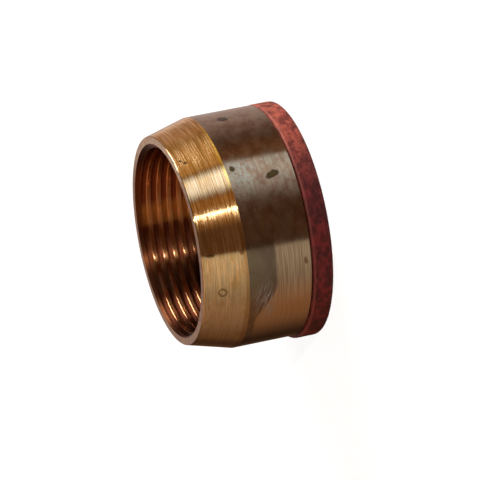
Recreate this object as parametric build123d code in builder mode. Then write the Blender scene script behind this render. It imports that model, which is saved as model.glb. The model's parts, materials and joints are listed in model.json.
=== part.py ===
from build123d import *
import os
from math import radians, tan

# Compression cone, in millimetres: a turned brass ring with a parallel land, a tapered nose and a
# bore for a pipe thread, standing on the fibre washer that seals its back face.
# Z is the common axis, the washer's free face is at z = 0, and the nose points up.

# Pipe thread of the bore: parallel, 55 degree rounded form, 11 turns to the inch.
# The bore is as it is before tapping. It is drilled wide, to less than the full form's depth of 1.48,
# which leaves the thread's crests flat.
thread_major_diameter = 41.91
thread_depth = 0.955

# Brass ring
nose_half_angle = 15.0
nose_length = 9.2
nose_rim_width = 1.58
land_length = 14.4
nose_edge_round = 0.2
back_edge_break = 0.4

# Fibre washer, punched a little larger than the land and lying a little off centre
washer_thickness = 4.3
washer_overhang = 0.4
washer_bore_clearance = 0.35
washer_edge_round = 0.3
washer_shift = 0.3

# Sizes that follow
mouth_radius = thread_major_diameter / 2
bore_radius = mouth_radius - thread_depth
nose_tip_radius = mouth_radius + nose_rim_width
land_radius = nose_tip_radius + nose_length * tan(radians(nose_half_angle))
washer_radius = land_radius + washer_overhang
washer_bore_radius = mouth_radius + washer_bore_clearance

# Heights that follow
ring_back = washer_thickness
land_top = ring_back + land_length
nose_top = land_top + nose_length


# The ring is turned from one bar: its half section is swept round the axis, both mouths of the bore
# are countersunk to the thread's major diameter, and the outer edges of its two ends are broken.
with BuildPart() as cone_ring:
    with BuildSketch(Plane.XZ) as half_section:
        with BuildLine():
            Polyline(
                (bore_radius, ring_back),
                (land_radius, ring_back),
                (land_radius, land_top),
                (nose_tip_radius, nose_top),
                (bore_radius, nose_top),
                close=True,
            )
        make_face()
    revolve(axis=Axis.Z)

    bore_mouths = cone_ring.edges().filter_by(GeomType.CIRCLE).group_by(SortBy.RADIUS)[0]
    chamfer(bore_mouths, length=thread_depth)

    nose_edge = cone_ring.edges().group_by(Axis.Z)[-1].sort_by(SortBy.RADIUS)[-1]
    fillet(nose_edge, radius=nose_edge_round)

    back_edge = cone_ring.edges().group_by(Axis.Z)[0].sort_by(SortBy.RADIUS)[-1]
    chamfer(back_edge, length=back_edge_break)

cone_ring.part.label = "cone_ring"


# The washer is punched from sheet, with its edges rounded over by the punch.
with BuildPart() as fibre_washer:
    with BuildSketch(Plane.XY) as blank:
        with Locations((-washer_shift, 0)):
            Circle(washer_radius)
            Circle(washer_bore_radius, mode=Mode.SUBTRACT)
    extrude(amount=washer_thickness)
    fillet(fibre_washer.edges().filter_by(GeomType.CIRCLE), radius=washer_edge_round)

fibre_washer.part.label = "fibre_washer"


os.makedirs("parts", exist_ok=True)
export_step(cone_ring.part, "parts/cone_ring.step")
export_step(fibre_washer.part, "parts/fibre_washer.step")
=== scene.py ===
import json
import math

import bpy
import numpy as np
from mathutils import Matrix, Vector


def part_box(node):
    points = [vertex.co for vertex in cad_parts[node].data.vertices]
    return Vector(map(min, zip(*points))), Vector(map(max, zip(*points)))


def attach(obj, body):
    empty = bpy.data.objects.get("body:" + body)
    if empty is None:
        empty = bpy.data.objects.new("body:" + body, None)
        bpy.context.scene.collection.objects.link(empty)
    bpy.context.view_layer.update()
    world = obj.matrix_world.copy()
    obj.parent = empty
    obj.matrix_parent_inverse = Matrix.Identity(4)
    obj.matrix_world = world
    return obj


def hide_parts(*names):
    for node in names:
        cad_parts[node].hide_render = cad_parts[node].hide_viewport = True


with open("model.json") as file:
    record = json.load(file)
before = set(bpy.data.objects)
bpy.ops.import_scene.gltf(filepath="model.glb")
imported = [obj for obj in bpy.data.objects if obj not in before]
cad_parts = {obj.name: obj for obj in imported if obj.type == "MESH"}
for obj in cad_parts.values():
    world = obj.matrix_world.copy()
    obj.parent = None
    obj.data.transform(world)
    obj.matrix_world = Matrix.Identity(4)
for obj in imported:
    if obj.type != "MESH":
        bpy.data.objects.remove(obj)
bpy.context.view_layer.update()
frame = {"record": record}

# A turned brass compression cone with an internal pipe thread, standing on its red fibre washer.
# Lengths are in metres. The part's axis is Z and its nose points up. Angles round the axis are counted
# from +X towards +Y in the meshes, and from the camera's side, -Y, towards +X in the finishes and the light.

MM = 0.001

# Sizes read from the frame
ring_low, ring_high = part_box("cone_ring")
washer_low, washer_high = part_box("fibre_washer")
mount_radius = {mount["name"]: mount["dims"].get("r_mm", 0.0) * MM for mount in frame["record"]["mounts"]}
RING_BACK = ring_low.z
NOSE_TOP = ring_high.z
LAND_RADIUS = ring_high.x
BORE_RADIUS = mount_radius["thread_bore"]
WASHER_TOP = washer_high.z
WASHER_RADIUS = (washer_high.x - washer_low.x) / 2
WASHER_CENTRE_X = (washer_high.x + washer_low.x) / 2
WASHER_BORE_RADIUS = mount_radius["washer_bore"]

# Brass ring
NOSE_LENGTH = 9.2 * MM
NOSE_HALF_ANGLE = math.radians(15)
BACK_EDGE_BREAK = 0.4 * MM
NOSE_EDGE_ROUND = 0.2 * MM
SHOULDER_ROUND = 0.12 * MM
FINE_EDGE_ROUND = 0.06 * MM
LAND_TOP = NOSE_TOP - NOSE_LENGTH
NOSE_TIP_RADIUS = LAND_RADIUS - NOSE_LENGTH * math.tan(NOSE_HALF_ANGLE)
# How far the cone's lower edge leans, because it was turned off centre
NOSE_SKEW = 0.33 * MM
# The ring's finishes, numbered in the order of its materials
NOSE, LAND, RIM, BORE = range(4)

# Pipe thread of 55 degree rounded form, 11 turns to the inch, with crests left blunt by the drilled bore
THREAD_PITCH = 25.4 / 11 * MM
THREAD_DEPTH = 0.640327 * THREAD_PITCH
THREAD_ROUND = 0.137329 * THREAD_PITCH
THREAD_FLANK = math.radians(27.5)
MOUTH_RADIUS = 41.91 / 2 * MM
COUNTERSINK = MOUTH_RADIUS - BORE_RADIUS
# Radius of the nearly flat arc that the drilled bore left on the crests
CREST_ROUND = 20.0 * MM
# Height of one crest on the side away from the camera
CREST_HEIGHT = 25.35 * MM

# Fibre washer. Its roughness is a sum of waves, whose counts round it and radians per millimetre along its
# section are drawn between these ends. A sum that swings by this much is the full roughness.
WASHER_EDGE_ROUND = 0.3 * MM
WASHER_ROUGHNESS = 0.045 * MM
FIBRE_SEED = 7
FIBRE_WAVES = 70
FIBRE_WAVES_ROUND = (5, 150)
FIBRE_WAVES_ALONG = (-3.5, 3.5)
FIBRE_FULL_SWING = 16

# Stage: a flat floor whose outer part curves up
FLOOR_FLAT_REACH = 1.4
FLOOR_REACH = 2.6
FLOOR_RISE = 1.2

# Fineness of the meshes
RING_COLUMNS = 320
RING_RUN_ROWS = [0, 4, 3, 16, 16, 5, 0]
RING_ARC_ROWS = 5
RING_SUPPORT = 0.03 * MM
ROWS_PER_TURN = 20
WASHER_COLUMNS = 420
WASHER_RUN_ROWS = [0, 24, 14, 14, 0]
WASHER_ARC_ROWS = 7
WASHER_SUPPORT = 0.05 * MM
WASHER_FACE_ROWS = 12
FLOOR_ROWS = 40
FLOOR_COLUMNS = 96

# Camera, as fitted to the photograph: where the ring's back face centre falls in a picture of
# 480 by 480 pixels, and the camera's height, roll, distance and focal length
PICTURE_PIXELS = 480
BACK_CENTRE_PIXEL = (271.58, 220.28)
CAMERA_HEIGHT_ANGLE = math.radians(17.41)
CAMERA_ROLL = math.radians(101.24)
CAMERA_DISTANCE = 1.0
FOCAL_PIXELS = 4683.6
SENSOR_WIDTH = 36.0


# Surfaces

def rounded_outline(corners, rounds, run_rows, arc_rows, support):
    """Points of a polygon whose inner corners are rounded: each corner is an arc tangent to its two runs,
    and each run between arcs is cut evenly, with one close row at each end that keeps its shading flat."""
    corners = np.asarray(corners, float)
    points = []
    run_of_row = []
    arc_end = None
    for i in range(1, len(corners) - 1):
        to_last = corners[i - 1] - corners[i]
        to_next = corners[i + 1] - corners[i]
        to_last /= np.linalg.norm(to_last)
        to_next /= np.linalg.norm(to_next)
        half = math.acos(np.clip(to_last @ to_next, -1, 1)) / 2
        start = corners[i] + to_last * rounds[i] / math.tan(half)
        bisector = (to_last + to_next) / np.linalg.norm(to_last + to_next)
        centre = corners[i] + bisector * rounds[i] / math.sin(half)
        if arc_end is not None:
            length = np.linalg.norm(start - arc_end)
            inner = np.linspace(support, length - support, run_rows[i - 1])
            along = (start - arc_end) / length
            points.append(arc_end + inner[:, None] * along)
            run_of_row += [i - 1] * len(inner)
        turn = np.linspace(0, 1, arc_rows)
        spoke = start - centre
        sweep = math.pi - 2 * half
        side = np.sign(to_last[0] * to_next[1] - to_last[1] * to_next[0])
        angle = -side * sweep * turn
        arc = np.stack([spoke[0] * np.cos(angle) - spoke[1] * np.sin(angle),
                        spoke[0] * np.sin(angle) + spoke[1] * np.cos(angle)], 1) + centre
        points.append(arc)
        run_of_row += [i - 1] * (arc_rows // 2) + [i] * (arc_rows - arc_rows // 2)
        arc_end = arc[-1]
    return np.concatenate(points), np.array(run_of_row)


def thread_radius(turns):
    """Radius of the thread from the count of turns, whole at a crest. The full form has a circular crest,
    a straight flank and a circular root, each half the mirror image of the other about mid depth. What the
    drilled bore took off the crests leaves them as a flatter arc, and the larger radius of the two holds."""
    across = np.abs(turns - np.round(turns)) * THREAD_PITCH
    half = np.minimum(across, THREAD_PITCH / 2 - across)
    tangent = THREAD_ROUND * math.cos(THREAD_FLANK)
    arc = THREAD_ROUND - np.sqrt(np.maximum(THREAD_ROUND ** 2 - half ** 2, 0))
    flank = THREAD_ROUND * (1 - math.sin(THREAD_FLANK)) + (half - tangent) / math.tan(THREAD_FLANK)
    depth = np.where(half < tangent, arc, flank)
    depth = np.where(across < THREAD_PITCH / 4, depth, THREAD_DEPTH - depth)
    full_form = MOUTH_RADIUS - THREAD_DEPTH + depth
    blunt_crest = BORE_RADIUS + CREST_ROUND - np.sqrt(CREST_ROUND ** 2 - across ** 2)
    return np.maximum(full_form, blunt_crest)


def ring_grid():
    """Points of the brass ring and the finish of each row. The outside is a rounded outline carried round
    the axis. In the bore the radius is the larger of the thread's, which climbs one pitch a turn, and of
    the countersinks', which grow one for one towards each mouth."""
    corners = [(BORE_RADIUS, RING_BACK + COUNTERSINK), (MOUTH_RADIUS, RING_BACK),
               (LAND_RADIUS - BACK_EDGE_BREAK, RING_BACK), (LAND_RADIUS, RING_BACK + BACK_EDGE_BREAK),
               (LAND_RADIUS, LAND_TOP), (NOSE_TIP_RADIUS, NOSE_TOP),
               (MOUTH_RADIUS, NOSE_TOP), (BORE_RADIUS, NOSE_TOP - COUNTERSINK)]
    rounds = [0, FINE_EDGE_ROUND, FINE_EDGE_ROUND, FINE_EDGE_ROUND, SHOULDER_ROUND, NOSE_EDGE_ROUND,
              FINE_EDGE_ROUND, 0]
    outline, run = rounded_outline(corners, rounds, RING_RUN_ROWS, RING_ARC_ROWS, RING_SUPPORT)
    angle = np.linspace(0, 2 * math.pi, RING_COLUMNS, endpoint=False)[None, :]
    radius = np.repeat(outline[:, :1], RING_COLUMNS, 1)
    height = outline[:, 1:]
    below = np.clip((height - RING_BACK) / (LAND_TOP - RING_BACK), 0, 1)
    above = np.clip((NOSE_TOP - height) / NOSE_LENGTH, 0, 1)
    height = height + NOSE_SKEW * np.minimum(below, above) * np.cos(angle)

    top, bottom = outline[-1, 1], outline[0, 1]
    bore_rows = int((top - bottom) / THREAD_PITCH * ROWS_PER_TURN)
    bore_height = np.linspace(top, bottom, bore_rows + 2)[1:-1, None]
    turns = (bore_height - CREST_HEIGHT) / THREAD_PITCH - (angle - math.pi / 2) / (2 * math.pi)
    sink = MOUTH_RADIUS - np.minimum(NOSE_TOP - bore_height, bore_height - RING_BACK)
    bore_radius = np.maximum(thread_radius(turns), sink)

    radius = np.concatenate([radius, bore_radius])
    height = np.concatenate([height, np.repeat(bore_height, RING_COLUMNS, 1)])
    angle = np.repeat(angle, len(radius), 0)
    finish_of_run = np.array([BORE, BORE, LAND, LAND, NOSE, RIM, BORE])
    finish = np.concatenate([finish_of_run[run], np.full(bore_rows, BORE)])
    return np.stack([radius * np.cos(angle), radius * np.sin(angle), height], -1), finish


def fibre_roughness(angle, along):
    """A seeded sum of sine waves round the washer and along its section, between 0 and 1."""
    draw = np.random.default_rng(FIBRE_SEED)
    total = np.zeros(np.broadcast(angle, along).shape)
    for _ in range(FIBRE_WAVES):
        waves_round = draw.integers(*FIBRE_WAVES_ROUND)
        waves_along = draw.uniform(*FIBRE_WAVES_ALONG) / MM
        total += np.sin(waves_round * angle + waves_along * along + draw.uniform(0, 2 * math.pi))
    return np.clip(0.5 + total / FIBRE_FULL_SWING, 0, 1)


def washer_grid():
    """Points of the fibre washer: a rounded rectangle carried round its axis, sunk a little by the
    roughness of the fibre everywhere but on the face that it lies on."""
    inner, outer = WASHER_BORE_RADIUS, WASHER_RADIUS
    middle = (inner + outer) / 2
    corners = [(middle, 0), (outer, 0), (outer, WASHER_TOP), (inner, WASHER_TOP), (inner, 0), (middle, 0)]
    rounds = [0] + [WASHER_EDGE_ROUND] * 4 + [0]
    outline, _ = rounded_outline(corners, rounds, WASHER_RUN_ROWS, WASHER_ARC_ROWS, WASHER_SUPPORT)
    face_rows = np.linspace(outline[-1, 0], outline[0, 0], WASHER_FACE_ROWS)[1:-1]
    outline = np.concatenate([outline, np.stack([face_rows, np.zeros_like(face_rows)], 1)])
    step = np.roll(outline, -1, 0) - np.roll(outline, 1, 0)
    along = np.concatenate([[0], np.cumsum(np.linalg.norm(np.diff(outline, axis=0), axis=1))])[:, None]
    inward = np.stack([-step[:, 1], step[:, 0]], 1) / np.linalg.norm(step, axis=1)[:, None]
    angle = np.linspace(0, 2 * math.pi, WASHER_COLUMNS, endpoint=False)[None, :]
    sunk = WASHER_ROUGHNESS * fibre_roughness(angle, along)
    radius = outline[:, :1] + sunk * inward[:, :1]
    height = outline[:, 1:] + sunk * inward[:, 1:]
    height[outline[:, 1] == 0] = 0
    return np.stack([WASHER_CENTRE_X + radius * np.cos(angle), radius * np.sin(angle), height], -1)


def floor_grid():
    """Points of the stage: a flat disc whose outer part rises with the square of the distance past the
    flat."""
    reach = np.linspace(0, FLOOR_REACH, FLOOR_ROWS)[:, None]
    angle = np.linspace(0, 2 * math.pi, FLOOR_COLUMNS, endpoint=False)[None, :]
    rise = np.maximum(reach - FLOOR_FLAT_REACH, 0) ** 2 * FLOOR_RISE + 0 * angle
    return np.stack([reach * np.cos(angle), reach * np.sin(angle), rise], -1)


def surface_object(name, grid, materials, row_finish=None, wrap_rows=True):
    """A mesh of quads on a grid of points that closes round its columns, and round its rows if asked."""
    rows, columns = grid.shape[:2]
    row = np.arange(rows if wrap_rows else rows - 1)[:, None]
    column = np.arange(columns)[None, :]
    next_row = (row + 1) % rows
    next_column = (column + 1) % columns
    quads = np.stack([row * columns + column, row * columns + next_column,
                      next_row * columns + next_column, next_row * columns + column], -1).reshape(-1, 4)
    mesh = bpy.data.meshes.new(name)
    mesh.vertices.add(rows * columns)
    mesh.vertices.foreach_set("co", grid.reshape(-1).astype(np.float32))
    mesh.loops.add(quads.size)
    mesh.loops.foreach_set("vertex_index", quads.reshape(-1).astype(np.int32))
    mesh.polygons.add(len(quads))
    mesh.polygons.foreach_set("loop_start", np.arange(0, quads.size, 4, dtype=np.int32))
    mesh.polygons.foreach_set("loop_total", np.full(len(quads), 4, dtype=np.int32))
    mesh.polygons.foreach_set("use_smooth", np.ones(len(quads), dtype=bool))
    if row_finish is not None:
        mesh.polygons.foreach_set("material_index", np.repeat(row_finish, columns).astype(np.int32))
    mesh.update(calc_edges=True)
    mesh.validate()
    for material in materials:
        mesh.materials.append(material)
    piece = bpy.data.objects.new(name, mesh)
    bpy.context.scene.collection.objects.link(piece)
    return piece


# Shader maths

# Noise waves per metre in the uneven edges of marks
EDGE_WAVES = 1200.0


class Signal:
    """One output socket of a node. Arithmetic on it adds Math nodes."""

    def __init__(self, nodes, socket):
        self.nodes = nodes
        self.socket = socket

    def math(self, operation, first, second=0.0, third=0.0):
        return self.nodes.add("ShaderNodeMath", {"operation": operation}, {0: first, 1: second, 2: third})

    def output(self, name):
        """Another output of the same node."""
        return Signal(self.nodes, self.socket.node.outputs[name])

    def __add__(self, other):
        return self.math("ADD", self, other)

    def __radd__(self, other):
        return self.math("ADD", other, self)

    def __sub__(self, other):
        return self.math("SUBTRACT", self, other)

    def __rsub__(self, other):
        return self.math("SUBTRACT", other, self)

    def __mul__(self, other):
        return self.math("MULTIPLY", self, other)

    def __rmul__(self, other):
        return self.math("MULTIPLY", other, self)


class Nodes:
    """The nodes of a finish or of the room, with one method that adds any node and names for the usual
    ones."""

    def __init__(self, owner, coordinates):
        owner.use_nodes = True
        self.owner = owner
        self.tree = owner.node_tree
        self.tree.nodes.clear()
        self.place = self.add("ShaderNodeTexCoord", output=coordinates)
        parts = self.add("ShaderNodeSeparateXYZ", inputs={0: self.place})
        self.x, self.y, self.z = (parts.output(axis) for axis in "XYZ")
        self.angle = self.x.math("ARCTAN2", self.x, 0 - self.y)

    def add(self, kind, settings=None, inputs=None, output=0):
        """Adds one node: its settings first, then the values or links of its sockets."""
        node = self.tree.nodes.new(kind)
        for key, value in (settings or {}).items():
            setattr(node, key, value)
        for key, value in (inputs or {}).items():
            if isinstance(value, Signal):
                self.tree.links.new(value.socket, node.inputs[key])
            else:
                node.inputs[key].default_value = value
        return Signal(self, node.outputs[output])

    def noise(self, grain, detail=2.0, roughness=0.5, move=(0, 0, 0)):
        """Noise whose grain has these lengths along the three axes."""
        scale = tuple(1 / length for length in grain)
        mapped = self.add("ShaderNodeMapping",
                          inputs={"Vector": self.place, "Location": move, "Scale": scale})
        return self.add("ShaderNodeTexNoise", inputs={"Vector": mapped, "Scale": 1.0, "Detail": detail,
                                                      "Roughness": roughness})

    def step(self, value, low, high):
        """Smooth step from 0 at low to 1 at high, or the other way round if low is the larger."""
        return self.add("ShaderNodeMapRange", {"interpolation_type": "SMOOTHSTEP"},
                        {"Value": value, "From Min": low, "From Max": high})

    def band(self, value, rise, full, fall, end):
        """Smooth step up from rise to full and down again from fall to end."""
        return self.step(value, rise, full) * self.step(value, end, fall)

    def mix(self, factor, first, second):
        """Colour that goes from first to second as factor goes from 0 to 1. The colours of a Mix node are its
        inputs 6 and 7 and its output 2."""
        colours = {6: first, 7: second}
        colours = {socket: colour if isinstance(colour, Signal) else (*colour, 1)
                   for socket, colour in colours.items()}
        return self.add("ShaderNodeMix", {"data_type": "RGBA"}, {0: factor, **colours}, output=2)

    def unrolled(self, radius, wobble):
        """Place on the surface as an arc length and a height, moved about by noise of the wobble's size."""
        flat = self.add("ShaderNodeCombineXYZ", inputs={0: self.angle * radius, 1: self.z})
        shake = self.add("ShaderNodeTexNoise",
                         inputs={"Vector": self.place, "Scale": EDGE_WAVES, "Detail": 3.0}, output="Color")
        shift = self.add("ShaderNodeVectorMath", {"operation": "MULTIPLY_ADD"},
                         {0: shake, 1: (2 * wobble, 2 * wobble, 0), 2: (-wobble, -wobble, 0)})
        return self.add("ShaderNodeVectorMath", {"operation": "ADD"}, {0: flat, 1: shift})

    def reach(self, flat, radius, mark):
        """Distance from a mark's centre in units of its own half sizes, from its angle and height, its two
        sizes in millimetres and its turn."""
        angle, height, wide, tall, turn = mark
        centre = (math.radians(angle) * radius, height * MM, 0)
        sizes = (wide / 2 * MM, tall / 2 * MM, 1)
        local = self.add("ShaderNodeMapping", {"vector_type": "TEXTURE"},
                         {"Vector": flat, "Location": centre, "Rotation": (0, 0, math.radians(turn)),
                          "Scale": sizes})
        return self.add("ShaderNodeVectorMath", {"operation": "LENGTH"}, {0: local}, output="Value")

    def bump(self, height, distance):
        """Normal of a surface raised by distance where height is 1."""
        return self.add("ShaderNodeBump", inputs={"Strength": 1.0, "Distance": distance, "Height": height})

    def finish(self, constants, **varying):
        """The Principled shader and the output; gives the material."""
        inputs = {**constants, **{name.replace("_", " "): value for name, value in varying.items()}}
        shader = self.add("ShaderNodeBsdfPrincipled", inputs=inputs)
        result = self.tree.nodes.new("ShaderNodeOutputMaterial")
        self.tree.links.new(shader.socket, result.inputs["Surface"])
        return self.owner


def finish_nodes(name):
    """The nodes of a new finish, placed by the piece's own coordinates."""
    return Nodes(bpy.data.materials.new(name), "Object")


# Finishes

# Marks by angle in degrees, height, size round and size up in millimetres, and turn in degrees
LAND_SPOTS = [(66.8, 13.8, 2.3, 2.1, 0), (22.2, 9.5, 3.1, 1.6, -71), (28.9, 17.45, 1.2, 1.1, 0)]
LAND_STAIN = (-22.4, 5.85, 1.9, 1.0, 0)
LAND_CLOUD = (-2.5, 12.7, 5.0, 4.2, 0)
LAND_SCUFF = (-42.0, 15.0, 11.0, 5.6, 0)
LAND_SILVER = (26.0, 16.0, 11.0, 7.0, 0)
NOSE_SPOTS = [(41.3, 25.85, 1.1, 0.8, 20), (43.5, 26.6, 0.8, 0.8, 0), (-12.0, 26.0, 0.9, 1.9, 0)]
NOSE_STAIN = (-12.3, 19.55, 1.3, 1.1, 0)
NOSE_RING_MARK = (-33.1, 24.0, 1.7, 1.6, 0)
# Radius that the cone's marks are unrolled at
NOSE_RADIUS = 23.8 * MM
# Turn of the scuff's scratches, and their length and width
SCUFF_TURN = math.radians(-20)
SCUFF_GRAIN = (4.5 * MM, 0.45 * MM, 1)

# Stretches round the axis, by the angles in radians where each starts, is full, fades and ends
NOSE_EVEN_SIDE = (-1.6, -1.2, -0.25, -0.15)
# Side of the shoulder that carries its painted highlight
SHOULDER_PAINTED_HIGHLIGHT_SIDE = (0.25, 0.5, 1.0, 1.2)
SHOULDER_DULL_SIDE = (-2.8, -2.2, -0.2, 0.1)
LAND_WORN_SIDE = (-1.6, -1.0, -0.24, -0.19)
LAND_SMOOTH_SIDE = (-1.3, -0.9, -0.2, -0.1)
# Side of the land darkened by painted shade
LAND_PAINTED_SHADE_SIDE = (-2.2, -1.5, -1.25, -0.95)
# Lit side of the rim, where its painted highlight is
RIM_PAINTED_LIT_SIDE = (0.3, 0.65, 1.8, 2.4)
BORE_OILY_SIDE = (-2.95, -2.86, -2.62, -2.52)
# Lit side of the washer, where painted light makes it lighter
FIBRE_PAINTED_LIT_SIDE = (0.1, 1.0, 1.9, 2.6)

# Stretches of the bore's far wall, by the same four places along X. The far wall itself fades in along Y, the
# bore's low side along X and the deep part of a stretch along Z.
BORE_OCHRE = (3.7 * MM, 4.6 * MM, 7.5 * MM, 10.0 * MM)
BORE_DEEP = (-14.0 * MM, -11.0 * MM, -3.0 * MM, 1.5 * MM)
BORE_FAR_WALL = (0.0, 5.0 * MM)
BORE_LOW_SIDE = (2.0 * MM, -4.0 * MM)
BORE_DEEP_PART = (19.8 * MM, 17.0 * MM)

# The land's worn stretch and the smooth one above it: the heights where they fade in or out, how far the
# line between them climbs, and the angles in radians over which it climbs and the tool rings get clear
WORN_START = (4.2 * MM, 5.2 * MM)
WORN_END = (12.6 * MM, 12.0 * MM)
SMOOTH_START = (12.2 * MM, 12.8 * MM)
WORN_CLIMB = 4.5 * MM
WORN_CLIMB_ANGLES = (-0.55, -0.95)
WORN_RINGS_ANGLES = (-0.9, -0.5)

# Shine and colours of the brass
BRASS_SHINE = {"Metallic": 1.0, "Anisotropic Rotation": 0.25}
NOSE_SHADE = (0.50, 0.29, 0.10)
NOSE_BRIGHT = (0.93, 0.71, 0.43)
NOSE_CLOUD = (0.74, 0.60, 0.32)
NOSE_PATINA = (0.60, 0.33, 0.09)
# Painted highlight of the shoulder line on its lit side
SHOULDER_PAINTED_HIGHLIGHT = (0.98, 0.76, 0.22)
SHOULDER_BROWN = (0.48, 0.28, 0.11)
STAIN_BROWN = (0.26, 0.12, 0.035)
DROP_BROWN = (0.22, 0.13, 0.05)
TARNISH = (0.09, 0.045, 0.016)
SPOT_OUTLINE = (0.03, 0.02, 0.01)
SPOT_MIDDLE = (0.075, 0.052, 0.018)
LAND_BROWN = (0.27, 0.165, 0.115)
LAND_PALE = (0.37, 0.28, 0.215)
LAND_OLIVE = (0.32, 0.29, 0.22)
LAND_GREY = (0.37, 0.37, 0.33)
LAND_RINGS = (0.18, 0.105, 0.07)
# Painted shade of the land's low side
LAND_PAINTED_SHADE = (0.15, 0.065, 0.04)
WORN_SHADE = (0.38, 0.265, 0.175)
WORN_BRIGHT = (0.55, 0.425, 0.30)
SMOOTH_SHADE = (0.18, 0.13, 0.095)
SMOOTH_GREY = (0.225, 0.18, 0.12)
SCUFF_BLUE = (0.40, 0.46, 0.54)
SILVER = (0.38, 0.44, 0.39)
CLOUD_EDGE = (0.40, 0.31, 0.21)
RUST = (0.20, 0.085, 0.02)
# Painted light of the rim: its lit copy, then its shaded copy
RIM_PAINTED_LIT = ((0.58, 0.41, 0.27), (0.75, 0.58, 0.42))
RIM_PAINTED_SHADE = ((0.34, 0.20, 0.125), (0.45, 0.29, 0.185))
CREST_COPPER = ((0.52, 0.23, 0.10), (0.62, 0.31, 0.15))
# Painted shade of the grooves, and of the grooves on the bore's low side
GROOVE_PAINTED_SHADE = (0.26, 0.06, 0.028)
LOW_SIDE_GROOVE_PAINTED_SHADE = (0.09, 0.022, 0.01)
OCHRE = (0.62, 0.29, 0.08)
OIL_BROWN = (0.20, 0.08, 0.035)
# Painted shade deep inside the bore and at its mouth
DEEP_PAINTED_SHADE = (0.07, 0.022, 0.009)
MOUTH_PAINTED_SHADE = (0.19, 0.062, 0.025)

# Colours of the fibre
FIBRE_CRIMSON = ((0.055, 0.004, 0.007), (0.155, 0.013, 0.017))
FIBRE_WISP = (0.28, 0.052, 0.052)
# Painted light of the fibre on its lit side
FIBRE_PAINTED_LIT = (0.56, 0.13, 0.085)
FIBRE_FLECK = (0.035, 0.004, 0.006)
# Painted highlight of the edge beside the ring, and painted shade of the far edge
FIBRE_PAINTED_HIGHLIGHT = (0.56, 0.18, 0.145)
FIBRE_PAINTED_EDGE_SHADE = (0.09, 0.016, 0.02)


def nose_finish():
    """Turned brass: fine tool rings, long ones and short ones, that spread its shine along the axis and are
    more even on one side, a painted highlight as a bright yellow line along the shoulder's lit side, brown
    patina, small dark spots, a stain and the dried rim of a drop."""
    nodes = finish_nodes("turned_nose_brass")
    long_rings = nodes.noise((14 * MM, 14 * MM, 0.26 * MM), detail=3)
    short_rings = nodes.noise((6.0 * MM, 6.0 * MM, 0.17 * MM), detail=2)
    cloud = nodes.noise((2.4 * MM, 2.4 * MM, 2.4 * MM), detail=4, roughness=0.6)
    patina = nodes.noise((4.0 * MM, 4.0 * MM, 1.6 * MM), detail=4, roughness=0.65, move=(2, 8, 5))
    rings = long_rings * 0.5 + short_rings * 0.5
    even = nodes.band(nodes.angle, *NOSE_EVEN_SIDE) * 0.7
    streak = nodes.step(rings, 0.38, 0.60) * (1 - even) + 0.62 * even
    base = nodes.mix(streak, NOSE_SHADE, NOSE_BRIGHT)
    base = nodes.mix(nodes.step(cloud, 0.45, 0.75) * 0.35, base, NOSE_CLOUD)
    base = nodes.mix(nodes.step(patina, 0.50, 0.68) * 0.6, base, NOSE_PATINA)

    shoulder = nodes.step(nodes.z, LAND_TOP + 1.0 * MM, LAND_TOP + 0.35 * MM)
    # Painted highlight: the shoulder line is painted bright yellow on its lit side.
    painted_highlight_side = nodes.band(nodes.angle, *SHOULDER_PAINTED_HIGHLIGHT_SIDE)
    base = nodes.mix(shoulder * painted_highlight_side * 0.85, base, SHOULDER_PAINTED_HIGHLIGHT)
    dull_side = nodes.band(nodes.angle, *SHOULDER_DULL_SIDE)
    base = nodes.mix(shoulder * dull_side * 0.7, base, SHOULDER_BROWN)

    flat = nodes.unrolled(NOSE_RADIUS, 0.25 * MM)
    stained = nodes.step(nodes.reach(flat, NOSE_RADIUS, NOSE_STAIN), 1.2, 0.5) * 0.8
    base = nodes.mix(stained, base, STAIN_BROWN)
    drop = nodes.band(nodes.reach(flat, NOSE_RADIUS, NOSE_RING_MARK), 0.55, 0.85, 1.05, 1.35)
    base = nodes.mix(drop * 0.72, base, DROP_BROWN)
    for spot in NOSE_SPOTS:
        dark = nodes.step(nodes.reach(flat, NOSE_RADIUS, spot), 1.2, 0.6)
        base = nodes.mix(dark * 0.75, base, TARNISH)

    roughness = 0.07 + 0.04 * cloud + 0.11 * nodes.step(short_rings, 0.42, 0.68)
    height = rings + 0.12 * cloud
    return nodes.finish({**BRASS_SHINE, "Anisotropic": 0.9}, Base_Color=base, Roughness=roughness,
                        Normal=nodes.bump(height, 0.007 * MM))


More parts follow.
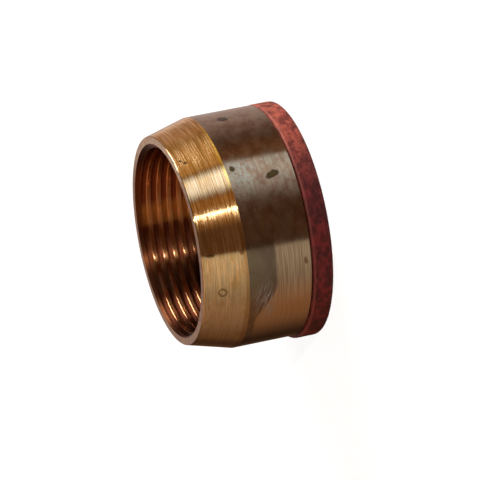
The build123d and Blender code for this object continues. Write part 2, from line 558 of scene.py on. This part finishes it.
def land_finish():
    """Tarnished brass: brown with grey and olive clouds, worn brighter along one stretch that keeps its tool
    rings, smooth, grey and scuffed beside it, darkened below it by painted shade, with a silvery patch, dark
    spots and a rusty stain."""
    nodes = finish_nodes("tarnished_land_brass")
    cloud = nodes.noise((3.0 * MM, 3.0 * MM, 2.2 * MM), detail=5, roughness=0.62)
    drift = nodes.noise((6 * MM, 6 * MM, 4 * MM), detail=3, move=(3, 1, 2))
    mottle = nodes.noise((0.7 * MM, 0.7 * MM, 0.6 * MM), detail=3, move=(5, 2, 0))
    rings = nodes.noise((9 * MM, 9 * MM, 0.28 * MM), detail=3)
    base = nodes.mix(nodes.step(cloud, 0.36, 0.62), LAND_BROWN, LAND_PALE)
    base = nodes.mix(nodes.step(drift, 0.46, 0.66) * 0.5, base, LAND_OLIVE)
    base = nodes.mix(nodes.step(mottle, 0.52, 0.72) * 0.45, base, LAND_GREY)
    base = nodes.mix(nodes.step(rings, 0.52, 0.66) * 0.28, base, LAND_RINGS)

    flat = nodes.unrolled(LAND_RADIUS, 0.42 * MM)
    worn_edge = nodes.z - WORN_CLIMB * nodes.step(nodes.angle, *WORN_CLIMB_ANGLES)
    worn_height = nodes.step(nodes.z, *WORN_START) * nodes.step(worn_edge, *WORN_END)
    worn = worn_height * nodes.band(nodes.angle, *LAND_WORN_SIDE)
    clear = 0.35 + 0.65 * nodes.step(nodes.angle, *WORN_RINGS_ANGLES)
    worn_rings = 0.55 + (nodes.step(rings, 0.35, 0.65) - 0.55) * clear
    base = nodes.mix(worn, base, nodes.mix(worn_rings, WORN_SHADE, WORN_BRIGHT))
    smooth = nodes.step(worn_edge, *SMOOTH_START) * nodes.band(nodes.angle, *LAND_SMOOTH_SIDE)
    grey = nodes.mix(nodes.step(drift, 0.4, 0.65), SMOOTH_SHADE, SMOOTH_GREY)
    base = nodes.mix(smooth * 0.9, base, grey)
    scuff = nodes.add("ShaderNodeMapping", {"vector_type": "TEXTURE"},
                      {"Vector": flat, "Rotation": (0, 0, SCUFF_TURN), "Scale": SCUFF_GRAIN})
    scuff = nodes.add("ShaderNodeTexNoise", inputs={"Vector": scuff, "Scale": 1.0, "Detail": 3.0})
    scuffed = nodes.step(nodes.reach(flat, LAND_RADIUS, LAND_SCUFF), 1.15, 0.4)
    base = nodes.mix(scuffed * nodes.step(scuff, 0.42, 0.64) * 0.8, base, SCUFF_BLUE)
    silvery = nodes.step(nodes.reach(flat, LAND_RADIUS, LAND_SILVER), 1.3, 0.1)
    base = nodes.mix(silvery * nodes.step(mottle, 0.34, 0.6) * 0.5, base, SILVER)
    # Painted shade: the land is darkened below the worn stretch.
    base = nodes.mix(nodes.band(nodes.angle, *LAND_PAINTED_SHADE_SIDE) * 0.55, base, LAND_PAINTED_SHADE)

    faint = nodes.band(nodes.reach(flat, LAND_RADIUS, LAND_CLOUD), 0.5, 0.8, 1.0, 1.3)
    base = nodes.mix(faint * 0.35, base, CLOUD_EDGE)
    stained = nodes.step(nodes.reach(flat, LAND_RADIUS, LAND_STAIN), 1.2, 0.5)
    base = nodes.mix(stained * 0.75, base, RUST)
    for spot in LAND_SPOTS:
        reach = nodes.reach(flat, LAND_RADIUS, spot)
        base = nodes.mix(nodes.step(reach, 1.2, 0.85) * 0.92, base, SPOT_OUTLINE)
        base = nodes.mix(nodes.step(reach, 0.85, 0.5) * 0.8, base, SPOT_MIDDLE)

    roughness = 0.09 + 0.1 * cloud + 0.08 * nodes.step(rings, 0.4, 0.65)
    height = 0.7 * drift + 0.12 * mottle + 0.3 * rings * (0.25 + worn * clear)
    return nodes.finish({**BRASS_SHINE, "Anisotropic": 0.5}, Base_Color=base, Roughness=roughness,
                        Normal=nodes.bump(height, 0.008 * MM))


def rim_finish():
    """Faced brass of the nose's flat rim and its rounded edge, with painted light: pale and a little pink on
    its lit side as a painted highlight, and browner round the rest as painted shade."""
    nodes = finish_nodes("faced_rim_brass")
    cloud = nodes.noise((1.2 * MM, 1.2 * MM, 1.2 * MM), detail=4)
    fine = nodes.step(cloud, 0.35, 0.65)
    pale = nodes.mix(fine, *RIM_PAINTED_LIT)
    brown = nodes.mix(fine, *RIM_PAINTED_SHADE)
    # Painted light: the rim is paler on its lit side and browner, painted shade, round the rest.
    base = nodes.mix(nodes.band(nodes.angle, *RIM_PAINTED_LIT_SIDE), brown, pale)
    return nodes.finish({**BRASS_SHINE, "Anisotropic": 0.4, "Roughness": 0.34}, Base_Color=base,
                        Normal=nodes.bump(cloud, 0.012 * MM))


def bore_finish():
    """Tapped brass of the bore: coppery on the crests, dark red in the grooves and darker in those of the low
    side as painted shade, brown at the mouth as painted shade and along two stretches of the far wall, of
    which the one only deep inside is painted shade, and ochre along a third."""
    nodes = finish_nodes("threaded_bore_brass")
    cloud = nodes.noise((2.5 * MM, 2.5 * MM, 1.2 * MM), detail=4)
    radius = nodes.x.math("SQRT", nodes.x * nodes.x + nodes.y * nodes.y)
    groove = nodes.step(radius, BORE_RADIUS + 0.05 * MM, BORE_RADIUS + 0.2 * MM)
    base = nodes.mix(nodes.step(cloud, 0.35, 0.7), *CREST_COPPER)
    # Painted shade: the grooves are darkened, and more so on the bore's low side.
    base = nodes.mix(groove * 0.85, base, GROOVE_PAINTED_SHADE)
    low_side = nodes.step(nodes.x, *BORE_LOW_SIDE)
    base = nodes.mix(groove * low_side * 0.85, base, LOW_SIDE_GROOVE_PAINTED_SHADE)
    far_wall = nodes.step(nodes.y, *BORE_FAR_WALL)
    ochre = far_wall * nodes.band(nodes.x, *BORE_OCHRE)
    base = nodes.mix(ochre * (0.25 + 0.55 * groove), base, OCHRE)
    oily = nodes.band(nodes.angle + 0.06 * cloud, *BORE_OILY_SIDE)
    base = nodes.mix(oily * 0.8, base, OIL_BROWN)
    # Painted shade deep inside the far wall of the bore.
    deep = far_wall * nodes.band(nodes.x, *BORE_DEEP) * nodes.step(nodes.z, *BORE_DEEP_PART)
    base = nodes.mix(deep * 0.85, base, DEEP_PAINTED_SHADE)
    # Painted shade on the mouth's countersink.
    mouth = nodes.step(nodes.z, NOSE_TOP - 1.5 * MM, NOSE_TOP - 0.8 * MM)
    base = nodes.mix(mouth * 0.85, base, MOUTH_PAINTED_SHADE)
    roughness = 0.28 - 0.07 * low_side + 0.3 * groove
    return nodes.finish({**BRASS_SHINE, "Anisotropic": 1.0}, Base_Color=base, Roughness=roughness,
                        Normal=nodes.bump(cloud, 0.004 * MM))


def fibre_finish():
    """Vulcanised fibre: crimson with dark flecks and pale wisps, with painted light: lighter on its lit side,
    a painted highlight along the edge beside the ring and painted shade along the far edge."""
    nodes = finish_nodes("red_fibre")
    patch = nodes.noise((2.0 * MM, 2.0 * MM, 1.6 * MM), detail=4, roughness=0.6)
    fleck = nodes.noise((0.9 * MM, 0.9 * MM, 0.75 * MM), detail=2, move=(4, 1, 7))
    wisp = nodes.noise((1.5 * MM, 1.5 * MM, 0.25 * MM), detail=3, move=(1, 6, 3))
    light = nodes.step(patch, 0.38, 0.64)
    base = nodes.mix(light, *FIBRE_CRIMSON)
    base = nodes.mix(nodes.step(wisp, 0.53, 0.75) * 0.4, base, FIBRE_WISP)
    # Painted light: the washer is lighter on its lit side.
    painted_light_share = nodes.band(nodes.angle, *FIBRE_PAINTED_LIT_SIDE)
    base = nodes.mix(painted_light_share * (0.25 + 0.65 * light), base, FIBRE_PAINTED_LIT)
    flecked = nodes.step(fleck, 0.52, 0.70) * (0.75 - 0.35 * painted_light_share)
    base = nodes.mix(flecked, base, FIBRE_FLECK)
    # Painted highlight along the rounded edge beside the ring.
    painted_edge_highlight = nodes.step(nodes.z, WASHER_TOP - 0.5 * MM, WASHER_TOP - 0.3 * MM)
    base = nodes.mix(painted_edge_highlight * (0.15 + 0.3 * painted_light_share), base, FIBRE_PAINTED_HIGHLIGHT)
    # Painted shade along the far rounded edge.
    painted_edge_shade = nodes.step(nodes.z, 0.75 * MM, 0.25 * MM)
    base = nodes.mix(painted_edge_shade * 0.5, base, FIBRE_PAINTED_EDGE_SHADE)
    height = patch + 0.6 * wisp - 0.5 * nodes.step(fleck, 0.56, 0.7)
    return nodes.finish({"Roughness": 0.62, "Specular IOR Level": 0.35}, Base_Color=base,
                        Normal=nodes.bump(height, 0.05 * MM))


def floor_finish():
    """Plain pale floor that is nearly as bright in the part's shade as in the light."""
    nodes = finish_nodes("pale_floor")
    return nodes.finish({"Base Color": (0.25, 0.25, 0.25, 1), "Roughness": 0.9, "Specular IOR Level": 0.0,
                         "Emission Color": (1, 1, 1, 1), "Emission Strength": 0.9})


# Pieces

ring_points, ring_finish = ring_grid()
ring_finishes = [nose_finish(), land_finish(), rim_finish(), bore_finish()]
ring = surface_object("cone_ring_turned", ring_points, ring_finishes, ring_finish)
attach(ring, "root")
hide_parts("cone_ring")

washer = surface_object("fibre_washer_punched", washer_grid(), [fibre_finish()])
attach(washer, "root")
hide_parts("fibre_washer")

floor = surface_object("studio_floor", floor_grid(), [floor_finish()], wrap_rows=False)
floor.visible_glossy = False
floor.visible_diffuse = False
floor.visible_shadow = False


# Light

# The studio as soft bright areas of a dim room. Each area has the angles round the axis in degrees where it
# starts, is full, fades and ends, the same four angles above the floor, and its brightness by colour. The
# count round the axis starts at the seam, which no area but the ceiling crosses.
ROOM = (0.055, 0.027, 0.014)
ROOM_SEAM = -150
ALL_ROUND = (-400, -390, 390, 400)
AREAS = {
    "low room": ((-148, -130, 185, 206), (-100, -95, 12, 20), (0.075, 0.038, 0.019)),
    "low window": ((15, 56, 65, 68), (-34, -26, -9, -3), (0.97, 1.06, 1.05)),
    "high window": ((33, 46, 54, 66), (-9, -3, 10, 14), (1.8, 1.95, 2.25)),
    "lamp": ((17, 17.5, 18.9, 19.4), (-9, -4, 17, 21), (3.8, 3.7, 3.4)),
    "lamp top": ((16.8, 17.3, 18.3, 18.8), (23, 26, 31, 36), (350.0, 332.0, 286.0)),
    "lamp skirt": ((8, 14, 16.2, 16.8), (-9, -4, 17, 21), (0.14, 0.10, 0.05)),
    "lamp glow": ((0, 14, 30, 40), (-4, 4, 12, 18), (0.30, 0.145, 0.03)),
    "table": ((-100, -30, -26, -23), (-60, -45, 20, 34), (0.375, 0.385, 0.335)),
    "table glow": ((-132, -94, -30, -24), (14, 20, 40, 48), (1.05, 0.54, 0.26)),
    "table edge": ((-140, -96, -88, -50), (-60, -45, -9, -3), (0.23, 0.115, 0.053)),
    "table far": ((-136, -94, -90, -62), (-6, -2, 12, 20), (0.13, 0.10, 0.09)),
    "gold wall": ((60, 70, 84, 150), (-4, 4, 10, 18), (0.42, 0.26, 0.09)),
    "gold wall far": ((105, 124, 150, 172), (-15, -11, 0, 6), (0.30, 0.20, 0.15)),
    "gold floor": ((64, 68, 76, 98), (-40, -30, -9, -3), (0.15, 0.07, 0.03)),
    "key": ((78, 86, 116, 122), (19, 25, 31, 37), (20.5, 20.0, 19.0)),
    "far wall": ((82, 138, 164, 180), (-60, -40, -12, -6), (0.46, 0.39, 0.37)),
    "far wall top": ((154, 172, 190, 205), (-8, 0, 30, 36), (0.48, 0.40, 0.38)),
    "back softbox": ((125, 145, 190, 206), (34, 42, 54, 62), (1.0, 0.96, 0.9)),
    "ceiling": (ALL_ROUND, (78, 86, 100, 110), (0.9, 0.87, 0.82)),
}


def room():
    """World of the studio: the sum of the dim room and its bright areas, by the direction looked in."""
    world = bpy.data.worlds.new("room")
    nodes = Nodes(world, "Generated")
    degrees = 180 / math.pi
    round_axis = nodes.angle * degrees
    round_axis = round_axis.math("WRAP", round_axis, ROOM_SEAM + 360, ROOM_SEAM)
    above_floor = nodes.z.math("ARCSINE", nodes.z) * degrees
    total = ROOM
    for sides, heights, colour in AREAS.values():
        share = nodes.band(round_axis, *sides) * nodes.band(above_floor, *heights)
        light = nodes.add("ShaderNodeVectorMath", {"operation": "SCALE"}, {0: colour, "Scale": share})
        total = nodes.add("ShaderNodeVectorMath", {"operation": "ADD"}, {0: total, 1: light})
    background = nodes.add("ShaderNodeBackground", inputs={"Color": total, "Strength": 1.0})
    result = nodes.tree.nodes.new("ShaderNodeOutputWorld")
    nodes.tree.links.new(background.socket, result.inputs["Surface"])
    return world


bpy.context.scene.world = room()
bpy.context.scene.view_settings.view_transform = "Standard"


# Camera

view = Vector((0, math.cos(CAMERA_HEIGHT_ANGLE), -math.sin(CAMERA_HEIGHT_ANGLE)))
level_right = Vector((1, 0, 0))
level_up = level_right.cross(view)
picture_right = math.cos(CAMERA_ROLL) * level_right - math.sin(CAMERA_ROLL) * level_up
picture_up = math.sin(CAMERA_ROLL) * level_right + math.cos(CAMERA_ROLL) * level_up
metres_per_pixel = CAMERA_DISTANCE / FOCAL_PIXELS
back_centre = Vector((0, 0, RING_BACK))
camera_place = back_centre - view * CAMERA_DISTANCE
middle_pixel = PICTURE_PIXELS / 2
aim = (back_centre - picture_right * (BACK_CENTRE_PIXEL[0] - middle_pixel) * metres_per_pixel
       - picture_up * (middle_pixel - BACK_CENTRE_PIXEL[1]) * metres_per_pixel)
forward = (aim - camera_place).normalized()
right = forward.cross(picture_up).normalized()
up = right.cross(forward)
camera = bpy.data.objects.new("camera", bpy.data.cameras.new("camera"))
camera.data.sensor_width = SENSOR_WIDTH
camera.data.lens = SENSOR_WIDTH * FOCAL_PIXELS / PICTURE_PIXELS
camera.matrix_world = Matrix.Translation(camera_place) @ Matrix((right, up, -forward)).transposed().to_4x4()
bpy.context.scene.collection.objects.link(camera)
bpy.context.scene.camera = camera
